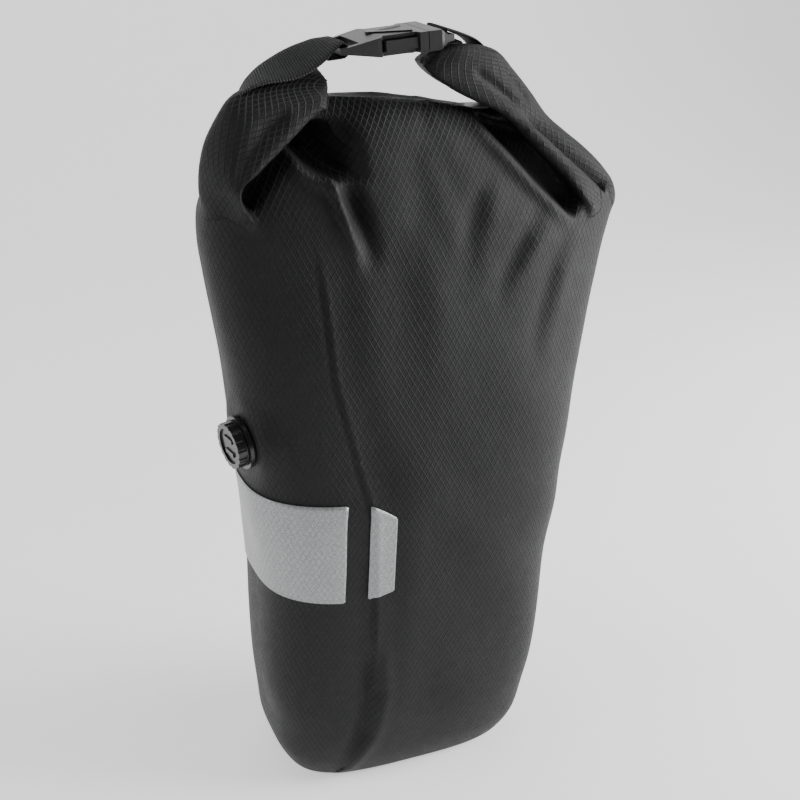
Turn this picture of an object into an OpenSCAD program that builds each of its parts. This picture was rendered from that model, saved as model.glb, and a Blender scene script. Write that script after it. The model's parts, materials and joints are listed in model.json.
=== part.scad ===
// Small roll-top pannier bag. Millimetres, +Z up, the front faces -Y and the rack is at +Y.
// The origin is on the axis of the rack tube that the bag hangs on, midway between its two hooks.
// Sizes below are given from the base and from the middle of the bag, and hang() moves them there.

/* [Bag] */
// Height of the closure's elbows above the base
elbow_z = 352; // [330:1:370]
// Width across the elbows
elbow_w = 244; // [236:1:252]
// Width of the body above its middle
chest_w = 218; // [212:1:226]
// Width of the body below its middle
waist_w = 184; // [178:1:190]
// Width of the flat base
base_w = 140; // [130:1:150]
// Depth of the body at its deepest
body_d = 107; // [100:1:112]
// Distance from the middle of the bag to the flat back
back_y = 50; // [48:1:52]
// Thickness of the coated fabric
fabric_t = 1; // [0.8:0.1:1.2]

/* [Closure] */
// Length of the rolled mouth between the two ears
roll_len = 84; // [76:1:86]
// Turns in the rolled mouth
roll_turns = 3; // [2:1:3]
// Width of the strap webbing
strap_w = 25; // [20:1:25]
// Thickness of the strap webbing
strap_t = 1.6; // [1.2:0.1:1.8]
// Height of the buckle's middle
buckle_z = 434; // [430:1:436]
// Tilt of the buckle, up towards its male half
buckle_tilt = 6; // [0:1:8]
// Overall width of the buckle
buckle_w = 33; // [32:1:36]
// Thickness of the buckle
buckle_t = 10; // [9:0.5:11]
// Length of the buckle's socket half
socket_len = 47; // [46:1:50]

/* [Reflective patches] */
// Height of the lower edge of the patches
patch_low = 138; // [134:1:150]
// Height of the large patch
patch_h = 62; // [40:1:64]

/* [Air valve] */
// Height of the valve above the base
valve_z = 228; // [220:1:240]
// Distance of the valve in front of the bag's middle
valve_front = 14; // [8:1:16]
// Radius of the twist cap
cap_r = 13; // [12:0.5:14]
// Grip notches round the twist cap
cap_notches = 18; // [12:1:24]

/* [Rack hardware] */
// Height of the rack tube's centre when the bag hangs on it
tube_z = 290; // [285:1:295]
// Radius of the rack tube
tube_r = 5; // [4:0.5:5]
// Distance of each hook from the middle
hook_x = 50; // [48:1:52]
// Width of a hook
hook_w = 24; // [22:1:26]
// Travel of the release handle
release_travel = 12; // [10:1:12]
// Travel of each latch bolt
bolt_travel = 7; // [6:0.5:7]
// Height of the lower rail
lower_z = 108; // [95:1:120]
// Radius of the rack stay that the lower hook takes
stay_r = 6; // [5:0.5:6]

/* [Hidden] */
$fn = 48;
eps = 0.01;
gap = 0.3;

// Colours
fabric = "#26272a";
web = "#1d1d1f";
plastic = "#2b2c2e";
silver = "#c3c5c6";
steel = "#b6b8ba";
rubber = "#161617";
alloy = "#9c9fa3";

// Bag sections: height, half width, half depth and the centre's y
side_n = 2.8;
back_n = 6;
flat_top = 326;
section_points = 40;
levels = [
    [0, base_w / 2, body_d * 0.34, 10],
    [20, base_w / 2 + 11, body_d * 0.44, 3],
    [70, waist_w / 2 - 4, body_d * 0.49, -1],
    [130, waist_w / 2, body_d * 0.5, -2],
    [205, waist_w / 2 + 6, body_d * 0.5, -2],
    [280, chest_w / 2, body_d * 0.44, 2],
    [flat_top, chest_w * 0.18 + elbow_w * 0.32, body_d * 0.389, 4.56],
    [elbow_z, elbow_w / 2, body_d * 0.36, 6],
    [elbow_z + 33, 85, 20, 6],
    [elbow_z + 38, 72, 15, 6]
];
seam_z = levels[1][0];
dome = levels[len(levels) - 1];
dome_z = dome[0];

// Rolled mouth
roll_y = 6;
roll_half = 9;
roll_core = 1.6;
roll_pitch = 1.7;
roll_sheet = 1.4;
roll_z = dome_z + gap + roll_core + roll_pitch * roll_turns + roll_sheet;

// Outlines of the two ears in the XZ plane, outer edge then inner edge
ear_w = 28;
ear_left_outer = [[-122.4, 353], [-117, 380], [-106, 401], [-92, 416], [-74, 428], [-63, 431.5]];
ear_left_inner = [[-59, 421], [-63, 411], [-72, 398], [-86, 386.6], [-97, 376]];
ear_right_outer = [[122.4, 353], [110, 368], [96, 379], [80, 392], [62, 407], [46, 420], [31, 430]];
ear_right_inner = [[24, 420], [36, 411], [50, 402], [64, 393], [76, 389.6], [86, 386.6], [97, 376]];

// Buckle, in its own frame: local X runs along the strap and 0 is where the halves meet
buckle_x = -1;
socket_wall = 2;
waist = [-24, -5];
waist_half = 13;
tip_x = -27;
cavity_end = -31;
button = [-23.4, -12.5];
shoulder_x = -5.8;
prong_root = [2.4, 9.6];
prong_root_r = 1.6;
plug_len = 15;
loop_half = 13;
end_bar = 3.4;
end_bar_half = 1.6;
bar_wrap = 3.5;

// Air valve, in its own frame: local Z points out of the fabric and 0 is the fabric's outside
flange_r = cap_r + 2;
flange_z = [1.1, 3.1];
valve_bore = 5.5;
valve_tube = 8.5;
tube_end = -7;
collar_r = 10.6;
collar_top = 5.8;
seat_r = 9;
seat_z = 3.9;
oring_r = 0.45;
oring_mid = 7.1;
head_z = [4.88, 6.4];
post_r = 3;
post_top = 7.6;
cap_z = [3.4, 9.2];
cap_roof = 6.6;
cap_face = 8.2;

// Half width of the side at height z and depth y
function side_x(z, y) = let (s = level_at(z))
    s[1] * pow(1 - pow(abs(y - s[3]) / s[2], side_n), 1 / side_n);

valve_x = side_x(valve_z, -valve_front);
valve_tilt = atan((side_x(valve_z + 5, -valve_front) - side_x(valve_z - 5, -valve_front)) / 10);
valve_yaw = atan((side_x(valve_z, 3 - valve_front) - side_x(valve_z, -3 - valve_front)) / 6);

// Rack hardware along Y, from the fabric's back face outwards
plate_t = 2.95;
plate_w = 112;
plate_h = 262;
plate_low = 62;
plate_y = back_y + 0.05;
rail_y = plate_y + plate_t;
board_t = 2;
board_y = back_y - fabric_t - 0.05 - board_t;

// Upper rail: a web on the plate and a wider flange in front of it
rail_len = 132;
rail_web = [2.5, 14];
rail_flange = [2.5, 22];
rail_z = tube_z + 12.5;
lip = 3.9;

// Hook and its throat
throat_r = 8;
tube_y = back_y + 27;
throat_wall = 3.5;
hook_pad_y = rail_y + 8.5;
leg_y = tube_y - throat_r;
bolt_w = 16;
bolt_h = 10;
bolt_len = 15;
bolt_top = tube_z - tube_r - 0.4;
bolt_mid = bolt_top - bolt_h / 2;
bolt_back = leg_y - 6.5;
bolt_tip = bolt_back + bolt_len;
pin_y = leg_y - 2;
pin_r = 1.5;
spring_r = 2.3;
wire_r = 0.35;
spring_turns = 6;
spring_bore = [2.9, 9];
cavity_back = rail_y + 2.2;
grub_y = rail_y + 6.9;
grub_r = 1.5;

// Link plate between the release handle and a bolt
link_t = 2.5;
link_x = hook_w / 2 + gap;
stud_y = leg_y - 5.5;
stud_z = tube_z + 10;
stud_r = 2;
eye_z = rail_z + 20;
eye_w = 20;

// Lower rail and anchor
lower_len = 120;
channel = [8, 24];
slot_half = 4.2;
carriage_half = 9;
anchor_plate_y = rail_y + channel[0] + 0.9;
anchor_t = 4;
anchor_drop = 24;
anchor_h = 22;
stay_y = anchor_plate_y + anchor_t + stay_r + 0.3;

function sgn(v) = v < 0 ? -1 : 1;

// One point of a section at angle t, drawn in by inset. Its back half is squarer, and above the
// seam it is cut flat against the back plate, as high as the plate reaches.
function section_point(s, t, inset) =
    let (n = sin(t) > 0 ? back_n : side_n,
         flat = s[0] > seam_z - 2 && s[0] <= flat_top,
         back_reach = flat ? back_y + 1 - s[3] : 0,
         depth = sin(t) > 0 ? max(s[2], back_reach) : s[2])
    [
        (s[1] - inset) * sgn(cos(t)) * pow(abs(cos(t)), 2 / n),
        min(back_y - inset, s[3] + (depth - inset) * sgn(sin(t)) * pow(abs(sin(t)), 2 / n)),
        s[0]
    ];

function ring(s, inset) =
    [for (k = [0 : section_points - 1]) section_point(s, k * 360 / section_points, inset)];

// A level at any height, worked out from the two levels around it
function level_at(z) = [
    z,
    lookup(z, [for (s = levels) [s[0], s[1]]]),
    lookup(z, [for (s = levels) [s[0], s[2]]]),
    lookup(z, [for (s = levels) [s[0], s[3]]])
];

// Closed solid through a list of rings with the same number of points
module loft(rings) {
    n = len(rings[0]);
    last = (len(rings) - 1) * n;
    polyhedron(
        points = [for (r = rings) each r],
        faces = concat(
            [[for (k = [0 : n - 1]) k]],
            [for (i = [0 : len(rings) - 2], k = [0 : n - 1], half = [0, 1])
                let (a = i * n + k, b = i * n + (k + 1) % n)
                half == 0 ? [a, a + n, b] : [b, a + n, b + n]],
            [[for (k = [n - 1 : -1 : 0]) last + k]]
        )
    );
}

// Outline of a strip that follows a line of points, from one offset to another on its left side
function side_of(p, i) =
    let (a = p[max(i - 1, 0)], b = p[min(i + 1, len(p) - 1)], d = b - a)
    [-d[1], d[0]] / norm(d);

function strip(p, near, far) = concat(
    [for (i = [0 : len(p) - 1]) p[i] + near * side_of(p, i)],
    [for (i = [len(p) - 1 : -1 : 0]) p[i] + far * side_of(p, i)]
);

// Closed outline from its upper half, mirrored in the line where the second coordinate is 0
function mirror_z(p) = concat(p, [for (i = [len(p) - 1 : -1 : 0]) [p[i][0], -p[i][1]]]);

// Extrudes an XZ outline along Y, between two values of y
module along_y(y0, y1) {
    translate([0, y1, 0])
        rotate([90, 0, 0])
            linear_extrude(y1 - y0)
                children();
}

// Extrudes a YZ outline along X, between two values of x
module along_x(x0, x1) {
    translate([x0, 0, 0])
        rotate([90, 0, 90])
            linear_extrude(x1 - x0)
                children();
}

module box(x, y, z) {
    translate([x[0], y[0], z[0]])
        cube([x[1] - x[0], y[1] - y[0], z[1] - z[0]]);
}

module rod_x(x, y, z, r) {
    translate([x[0], y, z])
        rotate([0, 90, 0])
            cylinder(h = x[1] - x[0], r = r);
}

module rod_y(x, y, z, r) {
    translate([x, y[0], z])
        rotate([-90, 0, 0])
            cylinder(h = y[1] - y[0], r = r);
}

module tube(r_in, r_out, z0, z1) {
    translate([0, 0, z0])
        difference() {
            cylinder(h = z1 - z0, r = r_out);
            translate([0, 0, -1])
                cylinder(h = z1 - z0 + 2, r = r_in);
        }
}

module round_plate(w, h, t, r) {
    rotate([90, 0, 0])
        translate([0, 0, -t])
            linear_extrude(t)
                hull()
                    for (x = [-1, 1], z = [-1, 1])
                        translate([x * (w / 2 - r), z * (h / 2 - r)])
                            circle(r);
}

// Moves what is drawn from the base's frame to the rack tube's frame
module hang() {
    translate([0, -tube_y, -tube_z])
        children();
}

// Places of the screws that hold the two rails
rail_screw_places = [
    for (x = [-28, 0, 28]) [x, rail_z, rail_web[0] + rail_flange[0]],
    for (x = [-52, 52]) [x, lower_z, 2.5]
];

module at_rail_screws() {
    for (p = rail_screw_places)
        translate([p[0], rail_y + p[2], p[1]])
            rotate([-90, 0, 0])
                children();
}

/* Fabric */

module bag_body() {
    outer = [for (s = levels) if (s[0] >= seam_z) ring(s, 0)];
    inner = concat(
        [ring([seam_z - 1, levels[1][1], levels[1][2], levels[1][3]], fabric_t)],
        [for (i = [2 : len(levels) - 2]) ring(levels[i], fabric_t)],
        [ring([dome_z - fabric_t, dome[1], dome[2], dome[3]], fabric_t)]
    );
    color(fabric)
        hang()
            difference() {
                loft(outer);
                loft(inner);
                place_valve()
                    translate([0, 0, -6])
                            cylinder(h = 12, r = valve_tube + gap);
                at_rail_screws()
                    translate([0, 0, -12])
                        cylinder(h = 12, r = 2.4);
            }
}

module base_panel() {
    s = levels[0];
    top = [seam_z - 0.02, levels[1][1], levels[1][2], levels[1][3]];
    color(fabric)
        hang()
            difference() {
                loft([ring(s, 0), ring(top, 0)]);
                loft([ring([fabric_t, s[1], s[2], s[3]], fabric_t),
                      ring([seam_z + 1, top[1], top[2], top[3]], fabric_t)]);
            }
}

// The mouth is pressed flat and rolled down on itself
module rolled_mouth() {
    path = [for (t = [0 : 20 : 360 * roll_turns])
        let (r = roll_core + roll_pitch * t / 360)
        [r * cos(t) + roll_half * sgn(cos(t)), r * sin(t)]];
    color(fabric)
        hang()
            along_x(-roll_len / 2, roll_len / 2)
                translate([roll_y, roll_z])
                    polygon(strip(path, -roll_sheet / 2, roll_sheet / 2));
}

module mouth_stiffener() {
    color(plastic)
        hang()
            box([2 - roll_len / 2, roll_len / 2 - 2], [roll_y - 7, roll_y + 7],
                [roll_z - 0.5, roll_z + 0.3]);
}

module ear_left() {
    color(fabric)
        hang()
            along_y(roll_y - ear_w / 2, roll_y + ear_w / 2)
                polygon(concat(ear_left_outer, ear_left_inner));
}

module ear_right() {
    color(fabric)
        hang()
            along_y(roll_y - ear_w / 2, roll_y + ear_w / 2)
                polygon(concat(ear_right_outer, ear_right_inner));
}

/* Straps and buckle */

module place_buckle() {
    translate([buckle_x, roll_y, buckle_z])
        rotate([0, -buckle_tilt, 0])
            children();
}

// A point of the buckle's XZ plane in the bag's frame
function at_buckle(x, z) = [
    buckle_x + x * cos(buckle_tilt) - z * sin(buckle_tilt),
    buckle_z + x * sin(buckle_tilt) + z * cos(buckle_tilt)
];

// Half turn of webbing round a bar at x, towards the buckle's middle, then a short sewn end
function bar_loop(x, side) = concat(
    [for (a = [90 : -30 : -90]) at_buckle(x + side * bar_wrap * cos(a), bar_wrap * sin(a))],
    [at_buckle(x - side * 6, -bar_wrap)]
);

module webbing(line) {
    hang()
        along_y(roll_y - strap_w / 2, roll_y + strap_w / 2)
            polygon(strip(line, -strap_t / 2, strap_t / 2));
}

// Webbing sewn along each ear and looped round the end bar of the buckle half
module strap_left() {
    lift = strap_t / 2 + gap;
    ear = [for (i = [2 : 5]) ear_left_outer[i] + lift * side_of(ear_left_outer, i)];
    color(web)
        webbing(concat(ear, bar_loop(end_bar / 2 - socket_len, 1)));
}

module strap_right() {
    lift = strap_t / 2 + gap;
    ear = [for (i = [3 : 6]) ear_right_outer[i] - lift * side_of(ear_right_outer, i)];
    color(web)
        webbing(concat(ear, bar_loop(plug_len - end_bar / 2, -1)));
}

// Socket half: a flat sleeve with a waist that bares the prongs, a webbing loop and a rib on each face
module buckle_socket() {
    w = buckle_w / 2;
    t = buckle_t / 2;
    loop_x = end_bar - socket_len;
    color(plastic)
        hang()
            place_buckle() {
                difference() {
                    intersection() {
                        along_y(-w, w)
                            polygon(mirror_z([[-socket_len, end_bar_half], [-socket_len + 4, 1.9],
                                              [waist[0] - 1, t], [-0.4, t]]));
                        translate([0, 0, -t])
                            linear_extrude(2 * t)
                                polygon(mirror_z([[-socket_len, w - 2.5], [-socket_len + 2, w - 1.2],
                                                  [waist[0] - 4, w], [waist[0] - 2, w],
                                                  [waist[0], waist_half], [waist[1] - 1, waist_half],
                                                  [waist[1], w], [-0.4, w]]));
                    }
                    box([cavity_end, 1], [socket_wall - w, w - socket_wall],
                        [socket_wall - t, t - socket_wall]);
                    box([loop_x, loop_x + 7], [-loop_half, loop_half], [-t, t]);
                }
                for (side = [-1, 1])
                    intersection() {
                        translate([waist[0] - 3, 0, side > 0 ? t - 0.2 : -t - 0.7])
                            for (a = [-24, 24])
                                rotate([0, 0, a])
                                    translate([-1, -1.5, 0])
                                        cube([24, 3, 0.9]);
                        box([waist[0] - 4, -1], [-w, w], [-t - 1, t + 1]);
                    }
            }
}

// Plug half: webbing loop, crosspiece and centre tongue, with a cup at the root of each prong
module buckle_plug() {
    w = buckle_w / 2;
    t = buckle_t / 2;
    tongue_t = t - socket_wall - gap;
    cup_t = tongue_t + 0.2;
    color(plastic)
        hang()
            place_buckle()
                difference() {
                    union() {
                        intersection() {
                            along_y(-w, w)
                                polygon(mirror_z([[0, t], [plug_len - 8, t], [plug_len - 4, 1.9],
                                                  [plug_len, end_bar_half]]));
                            translate([0, 0, -t])
                                linear_extrude(2 * t)
                                    polygon(mirror_z([[0, w], [plug_len - 8, w], [plug_len - 6, w - 1.5],
                                                      [plug_len, w - 2.5]]));
                        }
                        box([tip_x + 6, 0.1], [-2.2, 2.2], [-tongue_t, tongue_t]);
                    }
                    box([plug_len - end_bar - 4.6, plug_len - end_bar], [-loop_half, loop_half], [-t, t]);
                    for (side = [0, 1])
                        mirror([0, side, 0]) {
                            translate([prong_root[0], prong_root[1], -cup_t])
                                cylinder(h = 2 * cup_t, r = prong_root_r + 0.08);
                            box([-1, prong_root[0]], [prong_root[1] - 2.4, prong_root[1] + 1.6],
                                [-cup_t, cup_t]);
                        }
                }
}

// One spring prong: a root, a thin arm, a shoulder that bears on the socket's mouth and a button
module prong() {
    w = buckle_w / 2;
    h = buckle_t / 2 - socket_wall - gap;
    y = prong_root[1];
    color(plastic)
        hang()
            place_buckle()
                translate([0, 0, -h]) {
                    translate(prong_root)
                        cylinder(h = 2 * h, r = prong_root_r);
                    linear_extrude(2 * h)
                        polygon([[prong_root[0] - 0.4, y - 1], [shoulder_x, y - 0.8], [tip_x + 3, y - 1.5],
                                 [tip_x, y], [tip_x + 1, y + 2], [button[0], w - gap],
                                 [button[1], w - gap], [button[1], w - 1.1], [shoulder_x, w - 1.1],
                                 [shoulder_x, y + 1.2], [prong_root[0] - 0.4, y + 1]]);
                }
}

module prong_front() {
    translate([0, 2 * (roll_y - tube_y), 0])
        mirror([0, 1, 0])
            prong();
}

module prong_back() {
    prong();
}

/* Reflective patches */

// A thin sheet on the bag between two section points, with its own heights at each point
module patch(first, last, lows, highs) {
    near = 0.25;
    far = 0.65;
    count = last - first;
    function column(k, out) = [
        for (z = [lows[0] + (lows[1] - lows[0]) * k / count, highs[0] + (highs[1] - highs[0]) * k / count])
            section_point(level_at(z), (first + k) * 360 / section_points, -out)];
    color(silver)
        hang()
            loft([for (k = [0 : count])
                let (a = column(k, near), b = column(k, far))
                [a[0], a[1], b[1], b[0]]]);
}

module reflector_side() {
    patch(19, 27, [patch_low, patch_low], [patch_low + patch_h, patch_low + patch_h]);
}

module reflector_front() {
    patch(28, 29, [patch_low - 4, patch_low + 4], [patch_low + patch_h - 2, patch_low + patch_h - 12]);
}

/* Air valve */

module place_valve() {
    translate([-valve_x, -valve_front, valve_z])
        rotate([0, -90 - valve_tilt, valve_yaw])
            children();
}

module valve_gasket() {
    color(rubber)
        hang()
            place_valve()
                tube(valve_tube + 0.1, flange_r - 1, flange_z[0] - 0.8, flange_z[0]);
}

module valve_flange() {
    color(plastic)
        hang()
            place_valve()
                difference() {
                    union() {
                        translate([0, 0, flange_z[0]])
                            cylinder(h = flange_z[1] - flange_z[0], r = flange_r);
                        translate([0, 0, tube_end])
                            cylinder(h = flange_z[1] - tube_end, r = valve_tube);
                        translate([0, 0, flange_z[0]])
                            cylinder(h = collar_top - flange_z[0], r = collar_r);
                    }
                    translate([0, 0, tube_end - 1])
                        cylinder(h = 20, r = valve_bore);
                    translate([0, 0, seat_z])
                        cylinder(h = 4, r = seat_r);
                }
}

// Nut inside the bag
module valve_nut() {
    color(plastic)
        hang()
            place_valve()
                difference() {
                    translate([0, 0, tube_end + 0.4])
                        cylinder(h = 3.2, r = 11.4, $fn = 6);
                    translate([0, 0, tube_end - 1])
                        cylinder(h = 6, r = valve_tube + 0.05);
                }
}

// Stem with vent slots, a sealing head and the post that the cap turns on
module valve_plunger() {
    stem_r = valve_bore - 0.06;
    color(plastic)
        hang()
            place_valve()
                difference() {
                    union() {
                        translate([0, 0, tube_end + 1])
                            cylinder(h = head_z[0] - tube_end - 0.5, r = stem_r);
                        translate([0, 0, head_z[0]])
                            cylinder(h = head_z[1] - head_z[0], r = seat_r - 0.6);
                        translate([0, 0, head_z[0]])
                            cylinder(h = post_top - head_z[0], r = post_r);
                    }
                    for (a = [0 : 120 : 240])
                        rotate([0, 0, a])
                            translate([stem_r - 1.2, -1, tube_end])
                                cube([2, 2, seat_z - tube_end - 1.5]);
                }
}

module valve_oring() {
    color(rubber)
        hang()
            place_valve()
                translate([0, 0, seat_z + oring_r + 0.04])
                    rotate_extrude()
                        translate([oring_mid, 0])
                            circle(r = oring_r, $fn = 24);
}

// Twist cap: notched rim, recessed face and two raised bars
module valve_cap() {
    color(plastic)
        hang()
            place_valve() {
                difference() {
                    translate([0, 0, cap_z[0]])
                        cylinder(h = cap_z[1] - cap_z[0], r = cap_r);
                    translate([0, 0, cap_z[0] - 1])
                        cylinder(h = cap_roof - cap_z[0] + 1, r = collar_r + 0.35);
                    translate([0, 0, cap_z[0]])
                        cylinder(h = post_top + 0.06 - cap_z[0], r = post_r + 0.06);
                    translate([0, 0, cap_face])
                        cylinder(h = 2, r = cap_r - 3);
                    for (k = [0 : cap_notches - 1])
                        rotate([0, 0, k * 360 / cap_notches])
                            translate([cap_r + 0.4, 0, cap_z[0] + 1])
                                cylinder(h = 8, r = 1.1, $fn = 24);
                }
                for (s = [-1, 1])
                    translate([s * 4 - 1.2, -4.5, cap_face - 0.2])
                        cube([2.4, 9, 1]);
            }
}

/* Back plate and rails */

module back_plate() {
    color(plastic)
        hang()
            difference() {
                translate([0, plate_y, plate_low + plate_h / 2])
                    round_plate(plate_w, plate_h, plate_t, 14);
                at_rail_screws()
                    translate([0, 0, -10])
                        cylinder(h = 12, r = 2.15);
            }
}

module stiffener_board() {
    color(plastic)
        hang()
            difference() {
                translate([0, board_y, plate_low + plate_h / 2])
                    round_plate(plate_w - 14, plate_h - 4, board_t, 12);
                at_rail_screws()
                    translate([0, 0, -14])
                        cylinder(h = 12, r = 2.15);
            }
}

module upper_rail() {
    web_end = rail_y + rail_web[0];
    color(alloy)
        hang()
            difference() {
                union() {
                    box([-rail_len / 2, rail_len / 2], [rail_y, web_end],
                        [rail_z - rail_web[1] / 2, rail_z + rail_web[1] / 2]);
                    box([-rail_len / 2, rail_len / 2], [web_end, web_end + rail_flange[0]],
                        [rail_z - rail_flange[1] / 2, rail_z + rail_flange[1] / 2]);
                }
                at_rail_screws()
                    translate([0, 0, -10])
                        cylinder(h = 12, r = 2.15);
            }
}

module lower_rail() {
    z0 = lower_z - channel[1] / 2;
    z1 = lower_z + channel[1] / 2;
    color(alloy)
        hang()
            difference() {
                box([-lower_len / 2, lower_len / 2], [rail_y, rail_y + channel[0]], [z0, z1]);
                box([-lower_len / 2 - 1, lower_len / 2 + 1], [rail_y + 2.5, rail_y + 6], [z0 + 4, z1 - 4]);
                box([-lower_len / 2 - 1, lower_len / 2 + 1], [rail_y + 5, rail_y + 9],
                    [lower_z - slot_half, lower_z + slot_half]);
                at_rail_screws()
                    translate([0, 0, -10])
                        cylinder(h = 12, r = 2.15);
            }
}

module rail_screws() {
    color(steel)
        hang()
            for (p = rail_screw_places)
                translate([p[0], rail_y + p[2], p[1]])
                    rotate([-90, 0, 0])
                        difference() {
                            union() {
                                translate([0, 0, -p[2] - 11.6])
                                    cylinder(h = p[2] + 11.7, r = 2);
                                cylinder(h = 2.2, r = 3.6);
                            }
                            translate([0, 0, 0.8])
                                cylinder(h = 3, r = 1.5, $fn = 6);
                        }
}

module rail_nuts() {
    color(steel)
        hang()
            for (p = rail_screw_places)
                translate([p[0], board_y - 3.3, p[1]])
                    rotate([-90, 0, 0])
                        difference() {
                            cylinder(h = 3.2, r = 4, $fn = 6);
                            translate([0, 0, -1])
                                cylinder(h = 6, r = 2.02);
                        }
}

/* Hooks, bolts and release handle, drawn on the right and mirrored to the left */

module right_side() {
    translate([hook_x, 0, 0])
        children();
}

module left_side() {
    mirror([1, 0, 0])
        right_side()
            children();
}

module hook() {
    w = hook_w / 2;
    rail_half = rail_flange[1] / 2;
    color(plastic)
        hang()
            difference() {
                union() {
                    box([-w, w], [rail_y + 0.2, hook_pad_y],
                        [rail_z - rail_half - lip, rail_z + rail_half + lip]);
                    box([-w, w], [rail_y + 0.2, leg_y], [bolt_mid - 8.2, rail_z - rail_half - lip + eps]);
                    box([-w, w], [hook_pad_y - eps, tube_y],
                        [bolt_top - eps, tube_z + throat_r + throat_wall]);
                    rod_x([-w, w], tube_y, tube_z, throat_r + throat_wall);
                    box([-w, w], [tube_y + throat_r, tube_y + throat_r + throat_wall], [bolt_mid, tube_z]);
                }
                rod_x([-w - 1, w + 1], tube_y, tube_z, throat_r);
                box([-w - 1, w + 1], [leg_y, tube_y + throat_r], [bolt_mid - 20, tube_z]);
                // room for the rail's web and flange
                box([-w - 1, w + 1], [rail_y - 1, rail_y + rail_web[0]],
                    [rail_z - rail_web[1] / 2 - 0.1, rail_z + rail_web[1] / 2 + 0.1]);
                box([-w - 1, w + 1],
                    [rail_y + rail_web[0] - 0.1, rail_y + rail_web[0] + rail_flange[0] + 0.1],
                    [rail_z - rail_half - 0.1, rail_z + rail_half + 0.1]);
                // bolt channel, open at the throat, and the slot for its pin
                box([-bolt_w / 2 - 0.1, bolt_w / 2 + 0.1], [cavity_back, leg_y + 1],
                    [bolt_mid - bolt_h / 2 - 0.1, bolt_top + 0.1]);
                box([-w - 1, 0], [pin_y - bolt_travel - pin_r - 0.2, leg_y + 1],
                    [bolt_mid - pin_r - 0.1, bolt_mid + pin_r + 0.1]);
                // rivet and grub screw holes
                rod_x([-w - 1, -w + 6], stud_y, stud_z, stud_r + 0.02);
                translate([0, grub_y, rail_z + rail_half - 1])
                    cylinder(h = lip + 2, r = grub_r + 0.02);
            }
}

module hook_left() { left_side() hook(); }
module hook_right() { right_side() hook(); }

// U-shaped insert that fits the throat to the rack tube
module liner() {
    w = hook_w / 2 - 1;
    r = tube_r + 0.05;
    color(rubber)
        hang()
            difference() {
                union() {
                    rod_x([-w, w], tube_y, tube_z, throat_r - 0.05);
                    box([-w, w], [tube_y - throat_r + 0.05, tube_y + throat_r - 0.05],
                        [bolt_top + 0.5, tube_z]);
                }
                rod_x([-w - 1, w + 1], tube_y, tube_z, r);
                box([-w - 1, w + 1], [tube_y - r, tube_y + r], [bolt_top - 1, tube_z]);
                box([-w - 1, w + 1], [tube_y - 10, tube_y + 10], [bolt_top - 10, bolt_top + 0.5]);
            }
}

module liner_left() { left_side() liner(); }
module liner_right() { right_side() liner(); }

// Sliding bolt that closes the throat under the tube, with a ramp below and a pin towards the middle
module bolt() {
    low = bolt_mid - bolt_h / 2;
    ramp = 5.5;
    color(plastic)
        hang()
            difference() {
                union() {
                    along_x(-bolt_w / 2, bolt_w / 2)
                        polygon([[bolt_back, low], [bolt_tip - ramp, low], [bolt_tip, low + ramp],
                                 [bolt_tip, bolt_top], [bolt_back, bolt_top]]);
                    rod_x([-link_x - link_t - 0.8, -bolt_w / 2 + 1], pin_y, bolt_mid, pin_r);
                }
                rod_y(0, [bolt_back - 1, bolt_back + spring_bore[1]], bolt_mid, spring_bore[0]);
            }
}

module bolt_left() { left_side() bolt(); }
module bolt_right() { right_side() bolt(); }

// Compression spring, drawn as rings joined by a thin back strip
module bolt_spring() {
    length = bolt_back + spring_bore[1] - cavity_back;
    pitch = (length - 2 * wire_r) / spring_turns;
    color(steel)
        hang()
            translate([0, cavity_back + wire_r, bolt_mid])
                rotate([-90, 0, 0]) {
                    for (k = [0 : spring_turns])
                        translate([0, 0, k * pitch])
                            rotate_extrude()
                                translate([spring_r - wire_r, 0])
                                    circle(r = wire_r, $fn = 16);
                    translate([spring_r - 2 * wire_r, -wire_r / 2, 0])
                        cube([2 * wire_r, wire_r, length - 2 * wire_r]);
                }
}

module bolt_spring_left() { translate([-hook_x, 0, 0]) bolt_spring(); }
module bolt_spring_right() { translate([hook_x, 0, 0]) bolt_spring(); }

// Link plate: a sloping slot drives the bolt's pin, and a straight slot runs on the rivet
module link() {
    r = pin_r + 0.12;
    g = stud_r + 0.15;
    low = bolt_mid - release_travel - 5;
    top = eye_z + 6;
    color(steel)
        hang()
            difference() {
                along_x(-link_x - link_t, -link_x)
                    polygon([[pin_y - bolt_travel - 4, low], [pin_y - bolt_travel + 4, low],
                             [pin_y + 4, bolt_mid - 4],
                             [pin_y + 4, eye_z - 9], [pin_y + 11, eye_z - 5], [pin_y + 11, top],
                             [pin_y - 13, top], [pin_y - 13, eye_z - 6],
                             [stud_y - 5, eye_z - 9], [stud_y - 5, tube_z - 11.5],
                             [pin_y - bolt_travel - 4, bolt_mid - 4]]);
                along_x(-link_x - link_t - 1, -link_x + 1)
                    hull() {
                        translate([pin_y, bolt_mid])
                            circle(r);
                        translate([pin_y - bolt_travel, bolt_mid - release_travel])
                            circle(r);
                    }
                along_x(-link_x - link_t - 1, -link_x + 1)
                    hull() {
                        translate([stud_y, stud_z])
                            circle(g);
                        translate([stud_y, stud_z - release_travel])
                            circle(g);
                    }
                box([-link_x - link_t - 1, -link_x + 1], [pin_y - 1 - eye_w / 2, pin_y - 1 + eye_w / 2],
                    [eye_z - 0.2, eye_z + 3]);
            }
}

module link_left() { left_side() link(); }
module link_right() { right_side() link(); }

module rivet() {
    color(steel)
        hang() {
            rod_x([-link_x - link_t - gap - 0.1, -hook_w / 2 + 5], stud_y, stud_z, stud_r);
            rod_x([-link_x - link_t - gap - 1.5, -link_x - link_t - gap], stud_y, stud_z, stud_r + 1.6);
        }
}

module guide_rivets() {
    left_side() rivet();
    right_side() rivet();
}

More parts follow.
